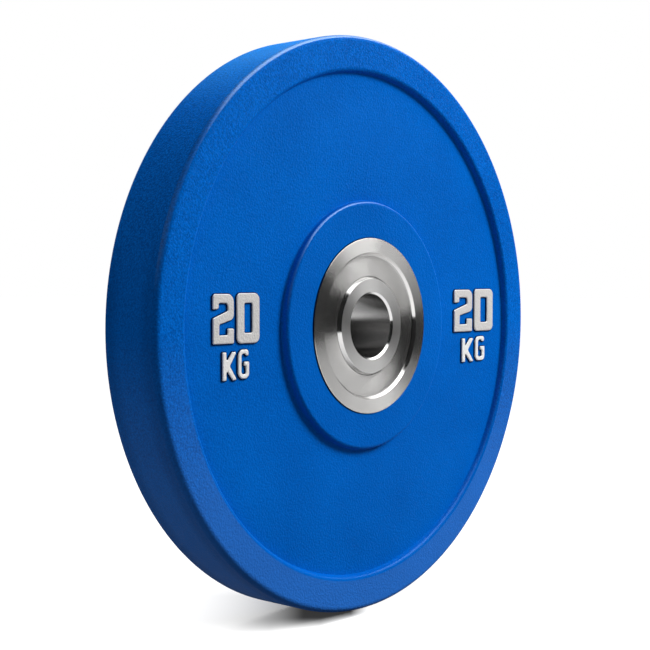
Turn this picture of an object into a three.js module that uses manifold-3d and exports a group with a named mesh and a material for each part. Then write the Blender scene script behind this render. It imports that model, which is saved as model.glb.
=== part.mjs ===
// A rubber bumper plate for an Olympic barbell: a moulded rubber body round an embedded steel
// weight disc, and a turned steel hub of two flanges clamped over a bore sleeve by six screws.
// Millimetres. The bore runs along Y, the front face looks towards -Y and +Z is up.

import * as THREE from "three";
import { mergeVertices } from "three/addons/utils/BufferGeometryUtils.js";
import Module from "manifold-3d";

const wasm = await Module();
wasm.setup();

// Rubber body
const plate_diameter = 450;
const rim_width = 54; // across the tread, face to face
const rim_band = 24.5; // flat raised band round each face
const rim_step_run = 2.8; // sloped wall from the band down to the web
const rim_corner = 5; // rounding between tread and band
const web_recess = 5; // web below the rim band
const boss_diameter = 196; // raised boss round the hub, at its foot
const boss_run = 1.5; // sloped wall of the boss
const boss_rise = 5.6; // boss face above the web
const mould_round = 1.5; // small roundings left by the mould

// Hub, from the bore outwards
const bore_diameter = 50.4;
const bore_chamfer = 1.6;
const sleeve_land_width = 12; // end face of the sleeve with its chamfer
const hub_recess_width = 17.1; // floor of the turned recess, with room for the screw heads
const hub_recess = 3; // depth of that recess
const hub_wall_run = 1.7; // slope of the recess walls
const hub_ring_width = 11.4; // outer land of the flange
const hub_edge = 0.8; // broken outer edge of the flange
const hub_proud = 1; // hub face above the rubber boss
const flange_thickness = 8.5;
const collar_wall = 2.4; // metal outside the screw holes, in the collar that bears on the disc

// Weight disc
const disc_diameter = 318;
const disc_thickness = 18;
const disc_edge = 1;
const key_count = 8; // rubber pegs through the disc lock it in the body
const key_diameter = 26;
const key_circle_share = 0.5; // between the collars and the edge of the disc
const disc_lip = 2.2; // metal between the screw holes and the rib of the sleeve

// Screws: countersunk, with a hexagon socket
const screw_count = 6;
const screw_diameter = 6;
const screw_head_diameter = 12;
const screw_head_rim = 0.6;
const screw_head_height = 3.6;
const screw_point = 0.8;
const socket_across_flats = 4;
const socket_depth = 2.2;
const screw_sink = 0.2; // head below the floor of the recess
const tapping_spare = 3; // blind hole deeper than the screw
const blind_wall = 6; // metal between the blind holes and the front recess

// Fits and cutting
const fit_gap = 0.3; // between neighbours on a radius
const overrun = 2; // cutters and pegs run past the faces they meet

// Facets round each revolved piece, and along each rounding
const body_facets = 84;
const hub_facets = 56;
const key_facets = 16;
const screw_facets = 16;
const corner_steps = 3;
const round_steps = 2;

// Places along the bore, measured from the middle plane
const rim_face = rim_width / 2;
const web_face = rim_face - web_recess;
const boss_face = web_face + boss_rise;
const hub_face = boss_face + hub_proud;
const recess_floor = hub_face - hub_recess;
const flange_back = hub_face - flange_thickness;
const disc_face = disc_thickness / 2;
const screw_top = recess_floor - screw_sink;
const screw_end = tapping_spare + blind_wall - recess_floor;
const screw_length = screw_top - screw_end;

// Radii
const plate_radius = plate_diameter / 2;
const band_inner = plate_radius - rim_band;
const boss_foot = boss_diameter / 2;
const bore_radius = bore_diameter / 2;
const sleeve_land = bore_radius + sleeve_land_width;
const sleeve_radius = sleeve_land + hub_wall_run;
const recess_outer = sleeve_radius + hub_recess_width;
const ring_inner = recess_outer + hub_wall_run;
const hub_radius = ring_inner + hub_ring_width;
const disc_radius = disc_diameter / 2;
const screw_circle = (sleeve_radius + recess_outer) / 2;
const screw_radius = screw_diameter / 2;
const screw_hole = screw_radius + fit_gap;
const screw_head_radius = screw_head_diameter / 2;
const collar_radius = screw_circle + screw_hole + collar_wall;
const disc_bore = screw_circle - screw_hole - disc_lip;
const rib_radius = disc_bore - fit_gap;
const key_circle = THREE.MathUtils.lerp(collar_radius, disc_radius, key_circle_share);

// Finishes
const blue_rubber = { color: 0x0a55b4, roughness: 0.6, metalness: 0 };
const turned_steel = { color: 0xb9b9b7, roughness: 0.32, metalness: 1 };
const sleeve_steel = { color: 0xaaaaab, roughness: 0.4, metalness: 1 };
const disc_steel = { color: 0x4a4c4f, roughness: 0.7, metalness: 1 };
const screw_steel = { color: 0x2c2d2f, roughness: 0.45, metalness: 1 };

// A closed profile from corners written as [radius, place along the axis, rounding, steps].
// A rounding never takes more than half of the shorter edge beside it.
function profile(corners) {
  const sites = corners.map(([radius, place]) => new THREE.Vector2(radius, place));
  const points = [];
  corners.forEach(([, , rounding = 0, steps = round_steps], i) => {
    const corner = sites[i];
    if (!rounding) {
      points.push(corner);
      return;
    }
    const before = sites.at(i - 1).clone().sub(corner);
    const after = sites[(i + 1) % sites.length].clone().sub(corner);
    const edge = Math.min(before.length(), after.length());
    before.normalize();
    after.normalize();
    const half = Math.acos(THREE.MathUtils.clamp(before.dot(after), -1, 1)) / 2;
    const reach = Math.min(rounding / Math.tan(half), edge / 2);
    const bisector = before.clone().add(after).normalize();
    const centre = corner.clone().addScaledVector(bisector, reach / Math.cos(half));
    const start = corner.clone().addScaledVector(before, reach);
    const turn = Math.sign(after.cross(before)) * (Math.PI - 2 * half);
    for (let step = 0; step <= steps; step += 1) {
      points.push(start.clone().rotateAround(centre, (turn * step) / steps));
    }
  });
  return points;
}

// Revolves a closed profile about Y. Flat facets, not corners, lie at the stated radii, with one
// of them at the very bottom, so bores stay as wide and the tread as large as they are named.
function revolve(points, facets) {
  const ring = THREE.ShapeUtils.area(points) > 0 ? points : [...points].reverse();
  const half_turn = Math.PI / facets;
  const spread = ring.map((p) => new THREE.Vector2(p.x / Math.cos(half_turn), p.y));
  spread.push(spread[0].clone());
  return new THREE.LatheGeometry(spread, facets, half_turn);
}

function solid(geometry) {
  const bare = geometry.clone();
  bare.deleteAttribute("normal");
  bare.deleteAttribute("uv");
  const merged = mergeVertices(bare);
  return new wasm.Manifold(new wasm.Mesh({
    numProp: 3,
    vertProperties: new Float32Array(merged.attributes.position.array),
    triVerts: new Uint32Array(merged.index.array),
  }));
}

function surface(manifold) {
  const { vertProperties, triVerts } = manifold.getMesh();
  const geometry = new THREE.BufferGeometry();
  geometry.setAttribute("position", new THREE.BufferAttribute(vertProperties, 3));
  geometry.setIndex(new THREE.BufferAttribute(triVerts, 1));
  return geometry;
}

// Copies of a cutter or peg on a circle about the bore, the first one half a pitch past the top
function ring_of(geometry, count, radius) {
  return Array.from({ length: count }, (_, i) => {
    const angle = (2 * Math.PI * (i + 0.5)) / count;
    return solid(geometry.clone().translate(radius * Math.sin(angle), 0, radius * Math.cos(angle)));
  });
}

function piece(name, geometry, finish) {
  const mesh = new THREE.Mesh(geometry, new THREE.MeshStandardMaterial(finish));
  mesh.name = name;
  return mesh;
}

// A rod along Y between two places on it
function rod(radius, from, to, facets) {
  const height = Math.abs(to - from);
  return new THREE.CylinderGeometry(radius, radius, height, facets).translate(0, (from + to) / 2, 0);
}

// One face of the body, from the hub pocket out to the tread; side is -1 in front, 1 behind
function body_face(side) {
  const pocket = hub_radius + fit_gap;
  const collar_hole = collar_radius + fit_gap;
  return [
    [collar_hole, side * disc_face],
    [collar_hole, side * flange_back],
    [pocket, side * flange_back],
    [pocket, side * boss_face],
    [boss_foot - boss_run, side * boss_face, mould_round],
    [boss_foot, side * web_face, mould_round, 1],
    [band_inner - rim_step_run, side * web_face, mould_round, 1],
    [band_inner, side * rim_face, mould_round],
    [plate_radius, side * rim_face, rim_corner, corner_steps],
  ];
}

// The slot for the weight disc opens into the hub hole, and rubber pegs cross it
function rubber_body() {
  const slot_end = disc_radius + fit_gap;
  const corners = [
    [slot_end, disc_face],
    [slot_end, -disc_face],
    ...body_face(-1),
    ...body_face(1).reverse(),
  ];
  let body = solid(revolve(profile(corners), body_facets));
  const peg = rod(key_diameter / 2 - fit_gap, -disc_face - overrun, disc_face + overrun, key_facets);
  for (const copy of ring_of(peg, key_count, key_circle)) {
    body = body.add(copy);
  }
  return piece("rubber_body", surface(body), blue_rubber);
}

function core_disc() {
  const corners = [
    [disc_bore, -disc_face],
    [disc_radius, -disc_face, disc_edge, 1],
    [disc_radius, disc_face, disc_edge, 1],
    [disc_bore, disc_face],
  ];
  let disc = solid(revolve(profile(corners), body_facets));
  const key_hole = rod(key_diameter / 2, -disc_face - overrun, disc_face + overrun, key_facets);
  const clearance_hole = rod(screw_hole, -disc_face - overrun, disc_face + overrun, screw_facets);
  for (const cutter of ring_of(key_hole, key_count, key_circle)) {
    disc = disc.subtract(cutter);
  }
  for (const cutter of ring_of(clearance_hole, screw_count, screw_circle)) {
    disc = disc.subtract(cutter);
  }
  return piece("core_disc", surface(disc), disc_steel);
}

// A turned flange: outer land, sloped wall, recess, and the collar that bears on the disc
function flange_blank(side) {
  const seat = sleeve_radius + fit_gap;
  return solid(revolve(profile([
    [seat, side * disc_face],
    [seat, side * recess_floor],
    [recess_outer, side * recess_floor],
    [ring_inner, side * hub_face],
    [hub_radius, side * hub_face, hub_edge],
    [hub_radius, side * flange_back],
    [collar_radius, side * flange_back],
    [collar_radius, side * disc_face],
  ]), hub_facets));
}

// Tapped blind holes take the screws from behind, so nothing shows on the front
function front_hub_flange() {
  const hole = rod(screw_hole, screw_end - tapping_spare, -disc_face + overrun, screw_facets);
  let flange = flange_blank(-1);
  for (const cutter of ring_of(hole, screw_count, screw_circle)) {
    flange = flange.subtract(cutter);
  }
  return piece("front_hub_flange", surface(flange), turned_steel);
}

function rear_hub_flange() {
  const wide = screw_head_radius + fit_gap;
  const sink = revolve(profile([
    [0, disc_face - overrun],
    [screw_hole, disc_face - overrun],
    [screw_hole, screw_top - screw_head_height],
    [wide, screw_top - screw_head_rim],
    [wide, recess_floor + overrun],
    [0, recess_floor + overrun],
  ]), screw_facets);
  let flange = flange_blank(1);
  for (const cutter of ring_of(sink, screw_count, screw_circle)) {
    flange = flange.subtract(cutter);
  }
  return piece("rear_hub_flange", surface(flange), turned_steel);
}

// The sleeve ends stand above the recess floors; its rib fills the bore of the weight disc
function bore_sleeve() {
  const end = (side) => [
    [sleeve_radius, side * recess_floor],
    [sleeve_land, side * hub_face],
    [bore_radius + bore_chamfer, side * hub_face],
    [bore_radius, side * (hub_face - bore_chamfer)],
  ];
  return piece("bore_sleeve", revolve(profile([
    ...end(-1).reverse(),
    [sleeve_radius, -disc_face],
    [rib_radius, -disc_face],
    [rib_radius, disc_face],
    [sleeve_radius, disc_face],
    ...end(1),
  ]), hub_facets), sleeve_steel);
}

// One screw lies along Y with the top of its head at the origin
function screw_geometry() {
  const shaft = solid(revolve(profile([
    [0, 0],
    [screw_head_radius, 0],
    [screw_head_radius, -screw_head_rim],
    [screw_radius, -screw_head_height],
    [screw_radius, screw_point - screw_length],
    [screw_radius - screw_point, -screw_length],
    [0, -screw_length],
  ]), screw_facets));
  const socket_radius = socket_across_flats / (2 * Math.cos(Math.PI / 6));
  return surface(shaft.subtract(solid(rod(socket_radius, -socket_depth, overrun, 6))));
}

function hub_screws() {
  const geometry = screw_geometry();
  return Array.from({ length: screw_count }, (_, i) => {
    const angle = (2 * Math.PI * (i + 0.5)) / screw_count;
    const screw = piece(`hub_screw_${i + 1}`, geometry.clone(), screw_steel);
    screw.position.set(screw_circle * Math.sin(angle), screw_top, screw_circle * Math.cos(angle));
    return screw;
  });
}

const hub = new THREE.Group();
hub.add(front_hub_flange(), rear_hub_flange(), bore_sleeve(), ...hub_screws());

const bumper_plate = new THREE.Group();
bumper_plate.add(rubber_body(), core_disc(), hub);

export default bumper_plate;
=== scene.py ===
# Looks for a rubber bumper plate: the moulded blue body, the turned steel hub with its screws,
# the raised numerals and letters, and a plain studio. Sizes of pieces are in millimetres.

import math

import bmesh
import bpy
from mathutils import Matrix, Vector


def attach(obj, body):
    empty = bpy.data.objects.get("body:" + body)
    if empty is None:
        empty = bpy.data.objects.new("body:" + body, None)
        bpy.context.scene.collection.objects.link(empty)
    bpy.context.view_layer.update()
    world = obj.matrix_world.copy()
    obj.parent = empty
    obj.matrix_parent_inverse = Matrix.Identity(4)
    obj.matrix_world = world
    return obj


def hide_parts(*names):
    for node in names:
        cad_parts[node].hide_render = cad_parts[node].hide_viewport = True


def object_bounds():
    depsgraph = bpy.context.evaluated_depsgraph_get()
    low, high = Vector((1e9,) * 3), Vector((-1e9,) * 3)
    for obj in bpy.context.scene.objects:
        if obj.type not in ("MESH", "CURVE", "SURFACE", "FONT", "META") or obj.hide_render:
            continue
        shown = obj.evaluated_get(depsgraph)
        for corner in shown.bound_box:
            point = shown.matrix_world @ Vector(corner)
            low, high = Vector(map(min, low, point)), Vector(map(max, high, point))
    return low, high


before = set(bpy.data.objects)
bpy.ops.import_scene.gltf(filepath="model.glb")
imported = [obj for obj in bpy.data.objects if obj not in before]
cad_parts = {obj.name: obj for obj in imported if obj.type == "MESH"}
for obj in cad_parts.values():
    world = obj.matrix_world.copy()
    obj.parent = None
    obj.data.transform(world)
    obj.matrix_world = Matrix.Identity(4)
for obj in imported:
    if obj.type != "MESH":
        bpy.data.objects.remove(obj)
cad_low, cad_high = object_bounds()

# One millimetre in metres
MM = 0.001

# Body
plate_radius = 225
rim_face = 27
web_face = 22
boss_face = 27.6
band_inner = 198.2
band_round = 4.2
rim_step_run = 1.7
rim_corner = 5
boss_foot = 98
boss_run = 0.6
boss_round = 3.4
foot_round = 1.0
pocket_round = 0.5

# Weight disc
disc_face = 9
disc_radius = 159
key_count = 8
key_radius = 13
key_circle = 106.075

# Hub
hub_face = 28.6
recess_floor = 25.6
flange_back = 20.1
hub_radius = 69.1
hub_edge = 0.5
ring_inner = 57.7
recess_outer = 56
sleeve_radius = 38.9
sleeve_land = 37.2
rib_radius = 41.65
collar_radius = 53.15
bore_radius = 25.2
bore_chamfer = 1.6
recess_round = 1.6
seat_round = 0.1
ring_round = 0.4
edge_round = 0.3
land_round = 0.25
chamfer_round = 0.12

# Screws
screw_count = 6
screw_circle = 47.45
screw_radius = 3
screw_head_radius = 6
screw_head_rim = 0.6
screw_head_height = 3.6
screw_top = 25.4
screw_end = -16.6
screw_point = 0.8
screw_top_round = 0.2
screw_rim_round = 0.15
socket_sides = 6
socket_across_flats = 4
socket_depth = 2.2
socket_cone = 0.7
socket_lead_in = 0.6
socket_lead_depth = 0.35
socket_lead_rise = 0.25
tapping_spare = 3

# Seed of the angles at which the screws stop
turn_seed = 4

fit_gap = 0.3
overrun = 2

body_facets = 256
hub_facets = 192
small_facets = 48

# Largest turn between two points of a rounding, in radians
profile_arc = 0.16
outline_arc = 0.14

# Share of the shorter edge that one rounding may use
longest_reach = 0.49

# Edges that turn by more than this many degrees shade as sharp
sharp_angle = 25

# A length too small to count
nil = 1e-6


# A closed line with its corners rounded; each corner is (first, second, rounding)
def rounded(corners, arc):
    sites = [Vector(corner[:2]) for corner in corners]
    points = []
    for i, corner in enumerate(corners):
        here = sites[i]
        rounding = corner[2] if len(corner) > 2 else 0
        if not rounding:
            points.append(here)
            continue
        before = sites[i - 1] - here
        after = sites[(i + 1) % len(sites)] - here
        edge = min(before.length, after.length)
        before.normalize()
        after.normalize()
        half = before.angle(after) / 2
        reach = min(rounding / math.tan(half), edge * longest_reach)
        centre = here + (before + after).normalized() * (reach / math.cos(half))
        start = here + before * reach - centre
        sweep = math.pi - 2 * half
        turn = -sweep if before.cross(after) > 0 else sweep
        steps = max(3, math.ceil(sweep / arc))
        for step in range(steps + 1):
            spoke = start.copy()
            spoke.rotate(Matrix.Rotation(turn * step / steps, 2))
            points.append(centre + spoke)
    return points


# A closed profile from corners written as (radius, place along the bore, rounding)
def profile(corners):
    return rounded(corners, profile_arc)


# Revolves a closed profile about the bore; points on the axis become single closed poles
def revolve(points, facets):
    bm = bmesh.new()
    rings = []
    for p in points:
        if p.x < nil:
            rings.append([bm.verts.new((0, p.y * MM, 0))] * facets)
            continue
        ring = []
        for k in range(facets):
            angle = 2 * math.pi * k / facets
            ring.append(bm.verts.new((
                p.x * MM * math.sin(angle),
                p.y * MM,
                p.x * MM * math.cos(angle),
            )))
        rings.append(ring)
    for i, ring in enumerate(rings):
        following = rings[(i + 1) % len(rings)]
        for k in range(facets):
            loop = [ring[k], ring[(k + 1) % facets], following[(k + 1) % facets], following[k]]
            corners = list(dict.fromkeys(loop))
            if len(corners) > 2:
                bm.faces.new(corners)
    bmesh.ops.recalc_face_normals(bm, faces=bm.faces)
    mesh = bpy.data.meshes.new("turned")
    bm.to_mesh(mesh)
    bm.free()
    return mesh


# Revolves an open line of sharp corners that starts and ends on the axis
def turned(corners, facets=small_facets):
    return revolve([Vector(corner) for corner in corners], facets)


def rod(radius, low, high):
    return turned(((0, low), (radius, low), (radius, high), (0, high)))


# One mesh with a copy at each place of a circle about the bore, the first half a pitch past the top
def ring_of(mesh, count, radius):
    bm = bmesh.new()
    for i in range(count):
        copy = mesh.copy()
        angle = 2 * math.pi * (i + 0.5) / count
        copy.transform(Matrix.Translation((
            radius * MM * math.sin(angle),
            0,
            radius * MM * math.cos(angle),
        )))
        bm.from_mesh(copy)
        bpy.data.meshes.remove(copy)
    ring = bpy.data.meshes.new("ring")
    bm.to_mesh(ring)
    bm.free()
    return ring


def put(name, mesh):
    piece = bpy.data.objects.new(name, mesh)
    bpy.context.scene.collection.objects.link(piece)
    return piece


def baked_mesh(piece):
    depsgraph = bpy.context.evaluated_depsgraph_get()
    return bpy.data.meshes.new_from_object(piece.evaluated_get(depsgraph))


# Joins or cuts one closed mesh with another
def combine(mesh, other, operation):
    blank = put("blank", mesh)
    tool = put("tool", other)
    modifier = blank.modifiers.new("combine", "BOOLEAN")
    modifier.operation = operation
    modifier.solver = "MANIFOLD"
    modifier.object = tool
    result = baked_mesh(blank)
    bpy.data.objects.remove(blank)
    bpy.data.objects.remove(tool)
    return result


# Normals weighted by area, so that flats beside a rounding shade flat
def even_normals(mesh):
    blank = put("blank", mesh)
    modifier = blank.modifiers.new("even", "WEIGHTED_NORMAL")
    modifier.keep_sharp = True
    result = baked_mesh(blank)
    bpy.data.objects.remove(blank)
    return result


def finish_piece(name, mesh, material, replaced=()):
    mesh.materials.clear()
    mesh.materials.append(material)
    for polygon in mesh.polygons:
        polygon.material_index = 0
    mesh.shade_smooth()
    mesh.set_sharp_from_angle(angle=math.radians(sharp_angle))
    piece = put(name, even_normals(mesh))
    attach(piece, "root")
    if replaced:
        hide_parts(*replaced)


# Maths in nodes: a wire is a node's output, and arithmetic on it adds Math nodes
class Wire:
    def __init__(self, graph, socket):
        self.graph = graph
        self.socket = socket

    def math(self, operation, *others):
        inputs = dict(enumerate((self, *others)))
        return self.graph.node("ShaderNodeMath", {"operation": operation}, inputs)

    def __add__(self, other):
        return self.math("ADD", other)

    __radd__ = __add__

    def __sub__(self, other):
        return self.math("SUBTRACT", other)

    def __rsub__(self, other):
        return self.graph.node("ShaderNodeMath", {"operation": "SUBTRACT"}, {0: other, 1: self})

    def __mul__(self, other):
        return self.math("MULTIPLY", other)

    __rmul__ = __mul__

    def __truediv__(self, other):
        return self.math("DIVIDE", other)

    def clamp(self, low, high):
        return self.math("MAXIMUM", low).math("MINIMUM", high)

    # 0 at the start, 1 at the end and level beyond both
    def ramp(self, start, end):
        return ((self - start) * (1 / (end - start))).clamp(0, 1)

    # 1 within the near distance of a value, falling to 0 at the far distance
    def around(self, value, near, far):
        return (self - value).math("ABSOLUTE").ramp(far, near)

    def beside(self, name):
        return Wire(self.graph, self.socket.node.outputs[name])


# The nodes of a material, a world or a modifier under construction
class Graph:
    def __init__(self, tree):
        self.tree = tree
        self.tree.nodes.clear()

    def node(self, kind, settings=None, inputs=None, out=0):
        made = self.tree.nodes.new(kind)
        for key, value in (settings or {}).items():
            setattr(made, key, value)
        for key, value in (inputs or {}).items():
            socket = self.find(made.inputs, key)
            if isinstance(value, Wire):
                self.tree.links.new(value.socket, socket)
            else:
                socket.default_value = value
        return Wire(self, self.find(made.outputs, out))

    @staticmethod
    def find(sockets, key):
        shown = [s for s in sockets if s.enabled]
        if isinstance(key, int):
            return shown[key]
        return next(s for s in shown if s.name == key)

    def place(self):
        return self.node("ShaderNodeTexCoord", out="Object")

    # 1 for what shows in the camera, a reflection or through glass, and 1 for a reflection
    def rays(self):
        camera = self.node("ShaderNodeLightPath", out="Is Camera Ray")
        glossy = camera.beside("Is Glossy Ray")
        showing = camera + glossy + camera.beside("Is Transmission Ray")
        return showing.clamp(0, 1), glossy

    def split(self, vector):
        x = self.node("ShaderNodeSeparateXYZ", None, {"Vector": vector}, out="X")
        return x, x.beside("Y"), x.beside("Z")

    def noise(self, place, scale, detail=2, roughness=0.5):
        inputs = {"Vector": place, "Scale": scale, "Detail": detail, "Roughness": roughness}
        return self.node("ShaderNodeTexNoise", None, inputs)

    def mix(self, factor, first, second):
        inputs = {"Factor": factor, "A": first, "B": second}
        return self.node("ShaderNodeMix", {"data_type": "RGBA"}, inputs)

    def vector(self, operation, *values):
        inputs = dict(enumerate(values))
        return self.node("ShaderNodeVectorMath", {"operation": operation}, inputs)

    def principled(self, inputs):
        return self.node("ShaderNodeBsdfPrincipled", None, inputs)

    def blend(self, factor, first, second):
        return self.node("ShaderNodeMixShader", None, {0: factor, 1: first, 2: second})

    def show(self, result, output="ShaderNodeOutputMaterial"):
        self.tree.links.new(result.socket, self.tree.nodes.new(output).inputs[0])


def new_material(name):
    material = bpy.data.materials.new(name)
    material.use_nodes = True
    return material, Graph(material.node_tree)


def colour(red, green, blue):
    return (red, green, blue, 1)


# Rubber, as radii in metres: where each look starts and where it is full
rim_grain = (0.1965, 0.1985)
rim_tone = (0.2, 0.20083)
rim_light = (0.219, 0.22)
tread_shadow = (0.222, 0.223)
tread_tone = (0.2235, 0.2245)

# Rubber, as heights in shares of the radius
lower_part = (-1 / 3, -2 / 3)
upper_part = (0.12, 0.32)
greying_part = (0, -0.5556)
crown_part = (0.7, 0.9)

# Rubber, as heights and as distances from the middle plane, both in metres
step_light = (-0.025, -0.04583)
side_shadow = (0.00909, 0.01818)

# Edges that catch the light, in metres: their radius, full within and none beyond
boss_edge = (0.0958, 0.0015, 0.002333)
step_edge = (0.1995, 0.002, 0.003)

# A rounded corner, as how far the surface faces along the bore times how far it doesn't
corner_turn = (0.12, 0.18667)

# Patterns of the rubber, in cells to the metre
cloud_scale = 14
speck_scale = 800
pebble_scale = 620
fine_scale = 1500

# Depth of the grain in metres, and what the pebbles and the fine grain add to it
grain_depth = 0.0005
grain_strength = 0.8
pebble_share = 0.7
fine_share = 0.5

# How much the clouds and the specks change the tone of the rubber
cloud_tone = 0.8
speck_tone = 1.0

# How much more or less the specks do on the rim, on the upper tread and low down
rim_speck_tone = 1.4
tread_grain = 1.2
lower_calm = 0.3

# How strongly each look shows where it is full
lower_rim_tone = 0.15
lettering_edge_highlight = 0.9
step_sheen = 0.25
low_grey_level = 0.07
crown_sheen_level = 0.07
shadow_level = 0.3

# The greying low on the plate is stronger on the tread than on the faces
tread_greying = 1.3
face_greying = 0.9

# Gloss of the rubber, plain and on its polished edges
matte_level = 0.045
speck_roughness = 0.12
sheen_roughness = 0.3
rubber_ior = 1.5

low_grey_colour = colour(0.36, 0.55, 0.75)
crown_sheen_colour = colour(0.1, 0.75, 0.7)
shadow_colour = colour(0.0, 0.03, 0.14)
sheen_tint = colour(0.68, 0.95, 1)
white = colour(1, 1, 1)


# Fine pebbled grain from the mould
def pebbled_normal(g, place):
    pebbles = g.node(
        "ShaderNodeTexVoronoi",
        {"feature": "SMOOTH_F1"},
        {"Vector": place, "Scale": pebble_scale, "Smoothness": 0.7, "Randomness": 1.0},
        out="Distance",
    )
    fine = g.noise(place, fine_scale, detail=2)
    height = pebbles * pebble_share + fine * fine_share
    return g.node(
        "ShaderNodeBump", None,
        {"Strength": grain_strength, "Distance": grain_depth, "Height": height},
    )


# Moulded rubber: grain over soft cloudy mottling, with a polished sheen on its rounded edges
def rubber(name, deep, bright, tint, roughness, lettered=False):
    material, g = new_material(name)
    place = g.place()
    east, along, up = g.split(place)
    radius = (east * east + up * up).math("SQRT")
    rise = up / radius
    lower = rise.ramp(*lower_part)
    upper = rise.ramp(*upper_part)
    tread = radius.ramp(*tread_tone)
    grain = radius.ramp(*rim_grain) * (1 - lower) - lower * lower_calm
    grain = grain + tread * upper * tread_grain
    clouds = g.noise(place, cloud_scale, detail=3)
    specks = g.noise(place, speck_scale, detail=1)
    on_rim = radius.ramp(*rim_tone)
    shade = (clouds - 0.5) * cloud_tone + (specks - 0.5) * (grain * rim_speck_tone + speck_tone)
    shade = shade + 0.5 + lower * on_rim * lower_rim_tone
    base = g.mix(shade.clamp(0, 1), deep, bright)
    normal = g.node("ShaderNodeNewGeometry", out="Normal")
    _, facing, _ = g.split(normal)
    facing = facing.math("ABSOLUTE")
    corner = (facing * (1 - facing)).ramp(*corner_turn)
    rim = radius.ramp(*rim_light)
    boss = radius.around(*boss_edge)
    step = radius.around(*step_edge) * up.ramp(*step_light) * step_sheen
    lit = (rim + boss) * upper + step + float(lettered)
    sheen = corner * lit.math("MINIMUM", 1.0)
    # Painted highlight: the rounded edges of the lettering are whitened
    if lettered:
        base = g.mix(corner * lettering_edge_highlight, base, white)
    # Greyer low on the rim and tread
    low_grey = rise.ramp(*greying_part) * on_rim * (tread_greying - facing * (tread_greying - face_greying))
    base = g.mix(low_grey * low_grey_level, base, low_grey_colour)
    # Painted sheen: the top of the tread is tinted lighter and greener
    top_sheen = rise.ramp(*crown_part) * tread
    base = g.mix(top_sheen * crown_sheen_level, base, crown_sheen_colour)
    aside = along.math("ABSOLUTE").ramp(*side_shadow)
    shaded = aside * radius.ramp(*tread_shadow) * (1 - upper)
    base = g.mix(shaded * shadow_level, base, shadow_colour)
    matte = g.principled({
        "Base Color": base,
        "Roughness": specks * speck_roughness + roughness,
        "IOR": rubber_ior,
        "Specular IOR Level": matte_level,
        "Specular Tint": tint,
        "Normal": pebbled_normal(g, place),
    })
    polished = g.principled({
        "Base Color": base,
        "Roughness": sheen_roughness,
        "IOR": rubber_ior,
        "Specular IOR Level": 1.0,
        "Specular Tint": white if lettered else sheen_tint,
    })
    g.show(g.blend(sheen, matte, polished))
    return material


# Lean and share of each lobe of the turned steel
groove_spread = (
    (0, 0.21),
    (0.22, 0.19),
    (-0.22, 0.19),
    (0.46, 0.13),
    (-0.46, 0.13),
    (0.75, 0.075),
    (-0.75, 0.075),
)

# Patterns of the turned steel, in cells to the metre
scratch_scale = 5200
cut_scale = 700
stain_scale = 60

# Third coordinate of the ring patterns in metres, off the whole steps of their noise
ring_slice = 0.0000055

# How much the wider cuts add to the scratches
cut_share = 1.5

# Range of the mixed patterns that runs from the dark to the bright tone of a steel
tone_range = (0.3, 0.7)

# Where each look of the turned steel starts and is full, as radii and heights in metres
bore_wall = (0.0254, 0.025275)
flange_edge = (0.0688, 0.06905)
bore_bottom = (-0.0024, -0.0064)

# How squarely a surface faces along the bore before it counts as flat
flat_turn = (0.88, 0.98)

# Painted shade lines where the recess meets the ring: full within and none beyond, in metres
foot_line = (0.0000857, 0.0003143)
lip_line = (0.0002, 0.0002857)

# How strongly each painted shade shows where it is full
foot_shade = 0.8
lip_shade = 0.3
bore_bottom_shade = 0.6

# Roughness of the turned steel: on its corners, and what the bore and the stains add
corner_polish = 0.08
bore_polish = 0.08
stain_polish = 0.06
face_polish_start = 0.1

# How far the grooves tilt the surface: on its corners, and what flat faces and the bore add
corner_slope = 0.15
face_slope = 0.85
bore_slope = 0.3

bore_shade_colour = colour(0.55, 0.545, 0.54)
bore_bottom_shade_colour = colour(0.25, 0.25, 0.25)
edge_shade_colour = colour(0.08, 0.08, 0.082)
shade_line_colour = colour(0.1, 0.1, 0.1)


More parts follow.
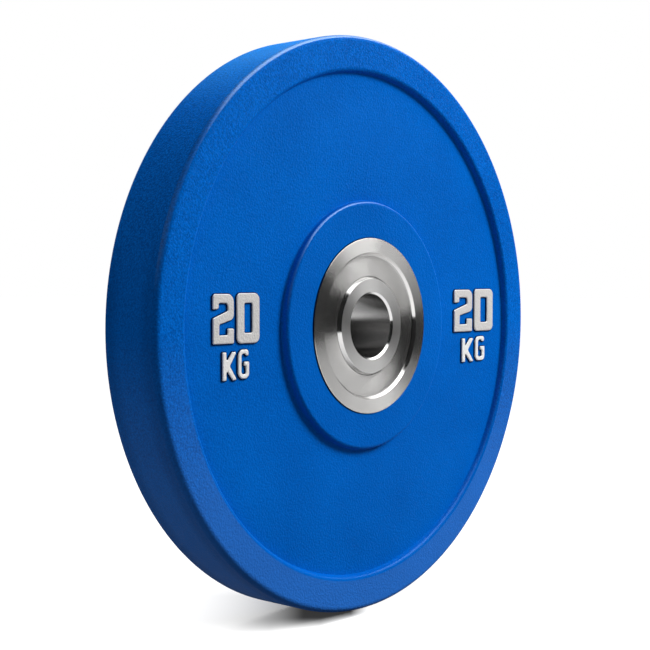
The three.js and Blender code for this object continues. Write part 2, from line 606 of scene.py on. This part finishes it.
# Turned steel: fine grooves round the bore spread each reflection across them, in several lobes
def turned_steel(name, dark, bright, roughness, tilt, rings):
    material, g = new_material(name)
    place = g.place()
    east, along, up = g.split(place)
    radius = (east * east + up * up).math("SQRT")
    across = g.node(
        "ShaderNodeCombineXYZ", None, {"X": radius, "Y": along, "Z": ring_slice},
    )
    outward = g.vector("NORMALIZE", g.vector("MULTIPLY", place, (1, 0, 1)))
    round_bore = g.vector("CROSS_PRODUCT", outward, (0, 1, 0))
    normal = g.node("ShaderNodeNewGeometry", out="Normal")
    over_groove = g.vector("CROSS_PRODUCT", round_bore, normal)
    scratch = g.noise(across, scratch_scale, detail=2)
    cut = g.noise(across, cut_scale, detail=1)
    marks = (scratch - 0.5 + (cut - 0.5) * cut_share) * rings
    _, facing, _ = g.split(normal)
    flat = facing.math("ABSOLUTE").ramp(*flat_turn)
    inside = radius.ramp(*bore_wall)
    clouds = g.noise(place, stain_scale, detail=4)
    tone = (scratch * 0.5 + clouds * 0.5).ramp(*tone_range)
    low = up.ramp(*bore_bottom) * inside
    foot = radius.around(recess_outer * MM, *foot_line) * foot_shade
    lip = radius.around(ring_inner * MM, *lip_line) * lip_shade
    base = g.mix(tone, dark, bright)
    # Painted shade: the bore's wall is darker
    base = g.mix(inside, base, bore_shade_colour)
    # Painted shade on the flange's outer edge, beside the rubber
    base = g.mix(radius.ramp(*flange_edge), base, edge_shade_colour)
    base = g.mix(foot + lip, base, shade_line_colour)
    # Painted shade: the lower part of the bore is darker
    base = g.mix(low * bore_bottom_shade, base, bore_bottom_shade_colour)
    polish = clouds * stain_polish + flat * (roughness - face_polish_start)
    polish = polish + inside * bore_polish + corner_polish
    give = flat * face_slope + inside * bore_slope + corner_slope
    whole = 0
    shine = None
    for lean, share in groove_spread:
        slope = (marks + lean * tilt) * give
        tilted = g.node(
            "ShaderNodeVectorMath", {"operation": "SCALE"}, {0: over_groove, "Scale": slope},
        )
        lobe = g.principled({
            "Base Color": base,
            "Metallic": 1.0,
            "Roughness": polish,
            "Normal": g.vector("NORMALIZE", g.vector("ADD", normal, tilted)),
        })
        whole += share
        if shine is None:
            shine = lobe
        else:
            shine = g.blend(share / whole, shine, lobe)
    g.show(shine)
    return material


# Coated steel: its patches, and a grit of finer cells that roughens it, with a depth in metres
patch_roughness = 0.6
grit_fineness = 9
grit_strength = 0.3
grit_depth = 0.0001
grit_roughness = 0.15


# Painted or blacked steel, lightly mottled
def coated_steel(name, dark, bright, metallic, roughness, scale):
    material, g = new_material(name)
    place = g.place()
    patches = g.noise(place, scale, detail=4, roughness=patch_roughness)
    grit = g.noise(place, scale * grit_fineness, detail=2)
    bump = g.node(
        "ShaderNodeBump", None,
        {"Strength": grit_strength, "Distance": grit_depth, "Height": grit},
    )
    g.show(g.principled({
        "Base Color": g.mix(patches.ramp(*tone_range), dark, bright),
        "Metallic": metallic,
        "Roughness": grit * grit_roughness + roughness,
        "Normal": bump,
    }))
    return material


blue_tint = colour(0.05, 0.45, 1.0)
blue_rubber = rubber(
    "blue rubber",
    deep=colour(0.0, 0.093, 0.44),
    bright=colour(0.0004, 0.163, 0.7),
    tint=blue_tint,
    roughness=0.5,
)
# Darker rubber of the plinths: painted shade on the characters' sides and round their feet
shaded_rubber = rubber(
    "shaded blue rubber",
    deep=colour(0, 0.01, 0.05),
    bright=colour(0.0004, 0.02, 0.09),
    tint=blue_tint,
    roughness=0.6,
)
pale_rubber = rubber(
    "pale rubber",
    deep=colour(0.62, 0.6, 0.59),
    bright=colour(0.8, 0.78, 0.765),
    tint=white,
    roughness=0.5,
    lettered=True,
)
white_rubber = rubber(
    "white rubber",
    deep=colour(0.88, 0.87, 0.86),
    bright=colour(0.98, 0.97, 0.96),
    tint=white,
    roughness=0.5,
    lettered=True,
)
flange_steel = turned_steel(
    "turned flange steel",
    dark=colour(0.6, 0.592, 0.58),
    bright=colour(0.7, 0.692, 0.68),
    roughness=0.225,
    tilt=1.05,
    rings=0.01,
)
sleeve_steel = turned_steel(
    "turned sleeve steel",
    dark=colour(0.56, 0.556, 0.55),
    bright=colour(0.64, 0.636, 0.63),
    roughness=0.36,
    tilt=0.9,
    rings=0.01,
)
disc_steel = coated_steel(
    "weight disc paint",
    dark=colour(0.05, 0.05, 0.052),
    bright=colour(0.09, 0.09, 0.095),
    metallic=0.0,
    roughness=0.6,
    scale=90,
)
screw_steel = coated_steel(
    "blacked screw steel",
    dark=colour(0.02, 0.02, 0.022),
    bright=colour(0.045, 0.045, 0.048),
    metallic=1.0,
    roughness=0.3,
    scale=700,
)


# Body: one closed moulding round the slot for the weight disc, with pegs through the slot
def body_side(side):
    collar_hole = collar_radius + fit_gap
    pocket = hub_radius + fit_gap
    return [
        [collar_hole, side * disc_face],
        [collar_hole, side * flange_back],
        [pocket, side * flange_back],
        [pocket, side * boss_face, pocket_round],
        [boss_foot - boss_run, side * boss_face, boss_round],
        [boss_foot, side * web_face, foot_round],
        [band_inner - rim_step_run, side * web_face, foot_round],
        [band_inner, side * rim_face, band_round],
        [plate_radius, side * rim_face, rim_corner],
    ]


def make_body():
    slot_end = disc_radius + fit_gap
    corners = [[slot_end, disc_face], [slot_end, -disc_face]]
    corners += body_side(-1) + body_side(1)[::-1]
    shell = revolve(profile(corners), body_facets)
    peg = rod(key_radius - fit_gap, -disc_face - overrun, disc_face + overrun)
    moulding = combine(shell, ring_of(peg, key_count, key_circle), "UNION")
    finish_piece("moulded_body", moulding, blue_rubber, ["rubber_body"])


def flange_blank(side):
    seat = sleeve_radius + fit_gap
    return revolve(profile([
        [seat, side * disc_face],
        [seat, side * recess_floor, seat_round],
        [recess_outer, side * recess_floor, recess_round],
        [ring_inner, side * hub_face, ring_round],
        [hub_radius, side * hub_face, hub_edge],
        [hub_radius, side * flange_back, edge_round],
        [collar_radius, side * flange_back],
        [collar_radius, side * disc_face, edge_round],
    ]), hub_facets)


def make_front_flange():
    hole = rod(screw_radius + fit_gap, screw_end - tapping_spare, -disc_face + overrun)
    flange = combine(flange_blank(-1), ring_of(hole, screw_count, screw_circle), "DIFFERENCE")
    finish_piece("front_flange", flange, flange_steel, ["front_hub_flange"])


def make_rear_flange():
    narrow = screw_radius + fit_gap
    wide = screw_head_radius + fit_gap
    sink = turned((
        (0, disc_face - overrun),
        (narrow, disc_face - overrun),
        (narrow, screw_top - screw_head_height),
        (wide, screw_top - screw_head_rim),
        (wide, recess_floor + overrun),
        (0, recess_floor + overrun),
    ))
    flange = combine(flange_blank(1), ring_of(sink, screw_count, screw_circle), "DIFFERENCE")
    finish_piece("rear_flange", flange, flange_steel, ["rear_hub_flange"])


def make_sleeve():
    def end(side):
        return [
            [sleeve_radius, side * recess_floor],
            [sleeve_land, side * hub_face, land_round],
            [bore_radius + bore_chamfer, side * hub_face, chamfer_round],
            [bore_radius, side * (hub_face - bore_chamfer), chamfer_round],
        ]
    corners = end(-1)[::-1] + [
        [sleeve_radius, -disc_face],
        [rib_radius, -disc_face, edge_round],
        [rib_radius, disc_face, edge_round],
        [sleeve_radius, disc_face],
    ] + end(1)
    finish_piece(
        "through_sleeve", revolve(profile(corners), hub_facets), sleeve_steel,
        ["bore_sleeve"],
    )


# One screw along Y with the top of its head at the origin
def screw_blank():
    length = screw_top - screw_end
    shape = revolve(profile([
        [0, 0],
        [screw_head_radius, 0, screw_top_round],
        [screw_head_radius, -screw_head_rim, screw_rim_round],
        [screw_radius, -screw_head_height],
        [screw_radius, screw_point - length],
        [screw_radius - screw_point, -length],
        [0, -length],
    ]), small_facets)
    socket_radius = socket_across_flats / 2 / math.cos(math.pi / socket_sides)
    key_way = turned((
        (0, -socket_depth - socket_cone),
        (socket_radius, -socket_depth),
        (socket_radius, -socket_lead_depth),
        (socket_radius + socket_lead_in, socket_lead_rise),
        (0, socket_lead_rise),
    ), facets=socket_sides)
    return combine(shape, key_way, "DIFFERENCE")


# Geometry Nodes that set copies of one piece on a circle about the bore, each turned at random
def circle_tree():
    tree = bpy.data.node_groups.new("pieces on a circle", "GeometryNodeTree")
    for name, kind in (
        ("Geometry", "NodeSocketGeometry"),
        ("Piece", "NodeSocketObject"),
        ("Count", "NodeSocketInt"),
        ("Circle", "NodeSocketFloat"),
        ("Place", "NodeSocketFloat"),
        ("Finish", "NodeSocketMaterial"),
    ):
        tree.interface.new_socket(name, in_out="INPUT", socket_type=kind)
    tree.interface.new_socket("Geometry", in_out="OUTPUT", socket_type="NodeSocketGeometry")

    g = Graph(tree)
    given = g.node("NodeGroupInput")
    count = given.beside("Count")
    circle = given.beside("Circle")
    points = g.node("GeometryNodePoints", None, {"Count": count})
    angle = (g.node("GeometryNodeInputIndex") + 0.5) / count * (2 * math.pi)
    place = g.node("ShaderNodeCombineXYZ", None, {
        "X": angle.math("SINE") * circle,
        "Y": given.beside("Place"),
        "Z": angle.math("COSINE") * circle,
    })
    placed = g.node("GeometryNodeSetPosition", None, {"Geometry": points, "Position": place})
    turn = g.node(
        "FunctionNodeRandomValue", {"data_type": "FLOAT"},
        {"Min": 0.0, "Max": 2 * math.pi / socket_sides, "Seed": turn_seed},
    )
    spin = g.node("ShaderNodeCombineXYZ", None, {"X": 0.0, "Y": turn, "Z": 0.0})
    piece = g.node("GeometryNodeObjectInfo", None, {"Object": given.beside("Piece")}, "Geometry")
    copies = g.node(
        "GeometryNodeInstanceOnPoints", None,
        {"Points": placed, "Instance": piece, "Rotation": spin},
    )
    solid = g.node("GeometryNodeRealizeInstances", None, {"Geometry": copies})
    dressed = g.node(
        "GeometryNodeSetMaterial", None,
        {"Geometry": solid, "Material": given.beside("Finish")},
    )
    g.show(dressed, "NodeGroupOutput")
    return tree


def make_screws():
    blank = put("screw_blank", screw_blank())
    carrier = put("screw_carrier", bpy.data.meshes.new("carrier"))
    modifier = carrier.modifiers.new("circle", "NODES")
    tree = circle_tree()
    modifier.node_group = tree
    ids = {
        item.name: item.identifier
        for item in tree.interface.items_tree
        if item.item_type == "SOCKET" and item.in_out == "INPUT"
    }
    modifier[ids["Piece"]] = blank
    modifier[ids["Count"]] = screw_count
    modifier[ids["Circle"]] = screw_circle * MM
    modifier[ids["Place"]] = screw_top * MM
    modifier[ids["Finish"]] = screw_steel
    screws = baked_mesh(carrier)
    bpy.data.objects.remove(carrier)
    bpy.data.objects.remove(blank)
    names = [f"hub_screw_{i + 1}" for i in range(screw_count)]
    finish_piece("hub_screws", screws, screw_steel, names)


# Characters: outlines in shares of their width and height, each corner with its rounding in mm
least_rounding = 0.85
two = [[
    (0, 0, 0.3), (0, 0.515, 1.4), (0.712, 0.657, 1.3), (0.712, 0.815, 2.4), (0.279, 0.815, 0.9),
    (0.279, 0.695, 1.8), (0, 0.695, 0.4), (0, 1, 2.6), (1, 1, 6.0), (1, 0.49, 4.4),
    (0.31, 0.393, 1.4), (0.3, 0.176, 0.4), (0.697, 0.176, 0.4), (0.697, 0.306, 0.7),
    (1, 0.306, 1.0), (1, 0, 0.8),
]]
nought = [
    [(0, 0, 4.2), (0, 1, 3.4), (1, 1, 5.0), (1, 0, 5.0)],
    [(0.33, 0.207, 1.3), (0.675, 0.207, 1.3), (0.675, 0.803, 1.3), (0.33, 0.803, 1.3)],
]
kay = [[
    (0, 0, 0.5), (0, 1, 0.5), (0.27, 1, 0.5), (0.27, 0.65, 0.3), (0.67, 1, 0.5), (0.98, 1, 0.5),
    (0.51, 0.51, 0.6), (1, 0, 0.5), (0.7, 0, 0.5), (0.27, 0.39, 0.3), (0.27, 0, 0.5),
]]
gee = [[
    (0, 0, 5.2), (0, 1, 5.2), (0.97, 1, 4.6), (0.91, 0.77, 0.5), (0.69, 0.8, 0.8),
    (0.64, 0.85, 1.0), (0.31, 0.85, 2.2), (0.31, 0.16, 2.2), (0.7, 0.16, 1.6), (0.7, 0.44, 0.4),
    (0.53, 0.44, 0.4), (0.53, 0.585, 0.5), (1, 0.585, 0.6), (1, 0.0, 4.2),
]]


def outline(corners, low, high):
    width, height = high[0] - low[0], high[1] - low[1]
    return rounded([
        (low[0] + across * width, low[1] + up * height, max(rounding, least_rounding))
        for across, up, rounding in corners
    ], outline_arc)


# A raised flat shape between two heights above the web, with its upper edge rounded
def raised(loops, low, high, edge, inset):
    curve = bpy.data.curves.new("outline", "CURVE")
    curve.dimensions = "2D"
    curve.fill_mode = "BOTH"
    for loop in loops:
        spline = curve.splines.new("POLY")
        spline.points.add(len(loop) - 1)
        for point, site in zip(spline.points, loop):
            point.co = (site.x * MM, site.y * MM, 0, 1)
        spline.use_cyclic_u = True
    curve.offset = -(edge + inset) * MM
    curve.bevel_depth = edge * MM
    curve.bevel_resolution = edge_steps
    curve.extrude = ((high - low) / 2 - edge) * MM
    flat = put("outline", curve)
    mesh = baked_mesh(flat)
    bpy.data.objects.remove(flat)
    bm = bmesh.new()
    bm.from_mesh(mesh)
    bmesh.ops.remove_doubles(bm, verts=bm.verts, dist=nil)
    bmesh.ops.recalc_face_normals(bm, faces=bm.faces)
    bmesh.ops.triangulate(bm, faces=bm.faces)
    bm.to_mesh(mesh)
    bm.free()
    mesh.transform(Matrix.Translation((0, 0, (low + high) / 2 * MM)))
    return mesh


# Stands a flat mesh up on the front or the rear face, where it reads from that side
def stand_up(mesh, side):
    mesh.transform(Matrix.Rotation(math.pi / 2, 4, "X"))
    if side > 0:
        mesh.transform(Matrix.Rotation(math.pi, 4, "Z"))


# Lettering: heights from the middle plane, roundings of the upper edges, their steps and insets;
# the dark plinths reach out past the characters as a rim of painted shade
plinth_foot = web_face - 0.6
plinth_top = web_face + 0.82
plinth_edge = 0.05
plinth_inset = -0.55
cap_foot = web_face - 0.05
cap_top = web_face + 1.6
cap_edge = 0.85
cap_inset = 0.05
edge_steps = 3

# Blocks of characters: each has its shape, its lower left corner and its upper right corner
left_block = (
    (two, (-169.0, -8.5), (-148.4, 26.5)),
    (nought, (-145.4, -8.8), (-122.4, 26.9)),
    (kay, (-159.8, -34.4), (-145.4, -14.3)),
    (gee, (-144.4, -33.9), (-133.2, -13.0)),
)
wide_right_block = (
    (two, (120.0, -8.8), (147.4, 27.7)),
    (nought, (150.8, -8.8), (180.0, 28.1)),
    (kay, (132.0, -35.5), (150.4, -14.8)),
    (gee, (152.4, -35.0), (167.2, -13.6)),
)
even_shift = 291.4
even_right_block = tuple(
    (shape, (low[0] + even_shift, low[1]), (high[0] + even_shift, high[1]))
    for shape, low, high in left_block
)


def join(meshes):
    bm = bmesh.new()
    for mesh in meshes:
        bm.from_mesh(mesh)
    joined = bpy.data.meshes.new("joined")
    bm.to_mesh(joined)
    bm.free()
    return joined


def make_lettering(side, face, right_block):
    for hand, boxes in (("left", left_block), ("right", right_block)):
        plinths = []
        caps = []
        for shape, low, high in boxes:
            loops = [outline(corners, low, high) for corners in shape]
            plinths.append(raised(loops, plinth_foot, plinth_top, plinth_edge, plinth_inset))
            caps.append(raised(loops, cap_foot, cap_top, cap_edge, cap_inset))
        for name, group, material, slot in (
            ("plinths", plinths, shaded_rubber, "blue_rubber"),
            ("numerals", caps[:2], pale_rubber, "pale_lettering"),
            ("letters", caps[2:], white_rubber, "pale_lettering"),
        ):
            mesh = join(group)
            stand_up(mesh, side)
            finish_piece(f"{face}_{hand}_{name}", mesh, material)


# The weight disc keeps its CAD shape
def paint_disc():
    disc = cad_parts["core_disc"]
    disc.data.materials.clear()
    disc.data.materials.append(disc_steel)


# Camera: its direction, its place in millimetres along its own axes, its lens and its range
camera_azimuth = math.radians(-49.27)
camera_elevation = math.radians(2.94)
camera_back = 1015.73
camera_right = -15.38
camera_up = -16.0
camera_lens = 70.11
camera_sensor = 36
camera_shift = 0.0308
camera_nearest = 0.05
camera_farthest = 60

# Ends of the floor shadow as the camera sees it, in metres to its right and towards it
shadow_left = (-0.031, -0.14211)
shadow_right = (0.005, 0.019)
shadow_behind = (-0.02, -0.08)
shadow_depth = 0.965

# Front edge of the shadow: the nearest of a corner line, a slant and a limit, each from its place
# at the tread and its slope; and how softly the edge fades
shadow_corner = 0.054
shadow_slant = 0.065
shadow_slant_slope = -0.42
shadow_limit = 0.089
shadow_spare = 0.0015
fade_start = 0.018
fade_slope = -0.45
fade_range = (0.014, 0.04)

# Left end of the shadow: how it brightens from the tread outwards
left_shoulder = 0.06
left_rise = 1.88
left_fall = 0.9

floor_half = 15
floor_grey = colour(0.13, 0.13, 0.13)

# Floor as the steel reflects it, dimmed by distance, behind the plate and at the far right
near_dim = (0.38, 0.29667)
far_dim = (0.66, 0.71)
rear_dim = (-0.1, 0.025)
right_dim = (0.42, 0.77)
front_part = (0, -0.125)
near_dim_level = 0.6
far_dim_level = 0.8
rear_dim_level = 0.35
right_dim_level = 0.7
floor_lift = 0.2

# Tent, over directions of unit length: where each light starts and is full, and its level
tent_radius = 1.15
tent_centre = (0.1, 0.05, cad_low.z)
cloth_edge = (-0.0714, 0.0714)
cloth_height = 0.98
cloth_rise_behind = 0.7
cloth_fall_right = 0.8
softbox_foot = (0.64, 0.7114)
softbox_front = (0.12, -0.005)
softbox_side = (-0.32, -0.195)
softbox_lean = 0.15
backdrop_edge = (0.86, 0.94333)
backdrop_east = 0.75
backdrop_north = 0.66
cloth_light = 0.02
tent_light = 1.12
softbox_light = 3.7
backdrop_light = 0.7

# Level at which the world lights the object; to the camera and in reflections it is white
world_light = 0.14

# Lamps aimed at the origin: place, width and height in metres, power in watts
lamps = (
    ("key softbox", (1.5, -1.5, 1.51), 1.1, 1.1, 83),
    ("left fill", (-1.6, -0.14, 0.59), 1.0, 1.0, 3.9),
    ("right softbox", (1.4, 0.37, 0.39), 0.6, 1.0, 11),
    ("top softbox", (0.325, 0.65, 1.0), 0.8, 0.8, 25),
)


def studio_piece(name, material, place, shape, **sizes):
    bm = bmesh.new()
    shape(bm, **sizes)
    mesh = bpy.data.meshes.new(name)
    bm.to_mesh(mesh)
    bm.free()
    mesh.transform(Matrix.Translation(place))
    mesh.materials.append(material)
    return put(name, mesh)


# How much of the floor's white a place keeps: a painted shadow that lies under the tread and runs
# out left
def floor_shadow(east, north):
    aside = east * math.cos(camera_azimuth) + north * math.sin(camera_azimuth)
    nearer = east * math.sin(camera_azimuth) - north * math.cos(camera_azimuth)
    slant = aside * shadow_slant_slope + shadow_slant
    front_edge = (shadow_corner - aside).math("MINIMUM", slant).math("MINIMUM", shadow_limit)
    fade = (aside * fade_slope + fade_start).clamp(*fade_range)
    out = aside.ramp(*shadow_left)
    left = out * out / (out + left_shoulder) * (left_rise - out * left_fall)
    front = ((nearer - front_edge + shadow_spare) / fade + 1).clamp(0, 1)
    right = aside.ramp(*shadow_right)
    behind = nearer.ramp(*shadow_behind)
    shade = (1 - left.clamp(0, 1)) * (1 - front * front) * (1 - right) * (1 - behind)
    return 1 - shade * shadow_depth


# White paper that glows to the camera and in reflections, and lights nothing else
def make_floor():
    material, g = new_material("studio floor")
    east, north, _ = g.split(g.place())
    lit = floor_shadow(east, north)
    reach = (east * east + north * north).math("SQRT")
    dark = reach.ramp(*near_dim) * near_dim_level + reach.ramp(*far_dim) * far_dim_level
    dim = north.ramp(*rear_dim) * (dark + rear_dim_level) - floor_lift
    dim = dim + east.ramp(*right_dim) * right_dim_level * north.ramp(*front_part)
    showing, glossy = g.rays()
    paper = g.node("ShaderNodeBsdfDiffuse", None, {"Color": floor_grey})
    light = g.node("ShaderNodeEmission", None, {
        "Color": white,
        "Strength": showing * lit * (1 - glossy * dim),
    })
    g.show(g.node("ShaderNodeAddShader", None, {0: paper, 1: light}))
    studio_piece(
        "floor", material, (0, 0, cad_low.z), bmesh.ops.create_grid,
        x_segments=1, y_segments=1, size=floor_half,
    )


# Studio tent, seen only in reflections: dark cloth at the height of the plate, light above
def make_tent():
    material, g = new_material("studio tent")
    east, north, height = g.split(g.vector("NORMALIZE", g.place()))
    behind = north.math("MAXIMUM", 0.0)
    right = east.math("MAXIMUM", 0.0)
    cloth = behind * cloth_rise_behind - east * cloth_fall_right + cloth_height
    softbox = (height + right * softbox_lean).ramp(*softbox_foot)
    softbox = softbox * north.ramp(*softbox_front) * east.ramp(*softbox_side)
    backdrop = (east * backdrop_east + north * backdrop_north).ramp(*backdrop_edge)
    light = (height - cloth).ramp(*cloth_edge) * tent_light + softbox * softbox_light
    light = light + backdrop * backdrop_light + cloth_light
    g.show(g.node("ShaderNodeEmission", None, {"Color": white, "Strength": light}))
    tent = studio_piece(
        "tent", material, tent_centre, bmesh.ops.create_uvsphere,
        u_segments=96, v_segments=48, radius=tent_radius,
    )
    tent.visible_camera = False
    tent.visible_diffuse = False
    tent.visible_transmission = False
    tent.visible_shadow = False


# Puts a camera or a lamp in the scene, turned to look along a direction
def aim(name, data, place, direction):
    holder = bpy.data.objects.new(name, data)
    bpy.context.scene.collection.objects.link(holder)
    holder.location = place
    holder.rotation_mode = "QUATERNION"
    holder.rotation_quaternion = direction.to_track_quat("-Z", "Y")
    return holder


def make_lamps():
    for name, place, width, height, power in lamps:
        light = bpy.data.lights.new(name, "AREA")
        light.shape = "RECTANGLE"
        light.size = width
        light.size_y = height
        light.energy = power
        holder = aim(name, light, place, -Vector(place))
        holder.visible_glossy = False


def make_world():
    world = bpy.data.worlds.new("studio")
    bpy.context.scene.world = world
    world.use_nodes = True
    g = Graph(world.node_tree)
    showing, _ = g.rays()
    sky = g.node("ShaderNodeBackground", None, {
        "Color": white,
        "Strength": showing * (1 - world_light) + world_light,
    })
    g.show(sky, "ShaderNodeOutputWorld")


def make_camera():
    back = Vector((
        math.sin(camera_azimuth) * math.cos(camera_elevation),
        -math.cos(camera_azimuth) * math.cos(camera_elevation),
        math.sin(camera_elevation),
    ))
    right = Vector((math.cos(camera_azimuth), math.sin(camera_azimuth), 0))
    above = back.cross(right)
    data = bpy.data.cameras.new("camera")
    data.sensor_width = camera_sensor
    data.lens = camera_lens
    data.shift_y = camera_shift
    data.clip_start = camera_nearest
    data.clip_end = camera_farthest
    place = (back * camera_back + right * camera_right + above * camera_up) * MM
    bpy.context.scene.camera = aim("camera", data, place, -back)


make_camera()
make_body()
make_front_flange()
make_rear_flange()
make_sleeve()
make_screws()
make_lettering(-1, "front", wide_right_block)
make_lettering(1, "rear", even_right_block)
paint_disc()
make_world()
make_floor()
make_tent()
make_lamps()

bpy.context.scene.view_settings.view_transform = "Standard"
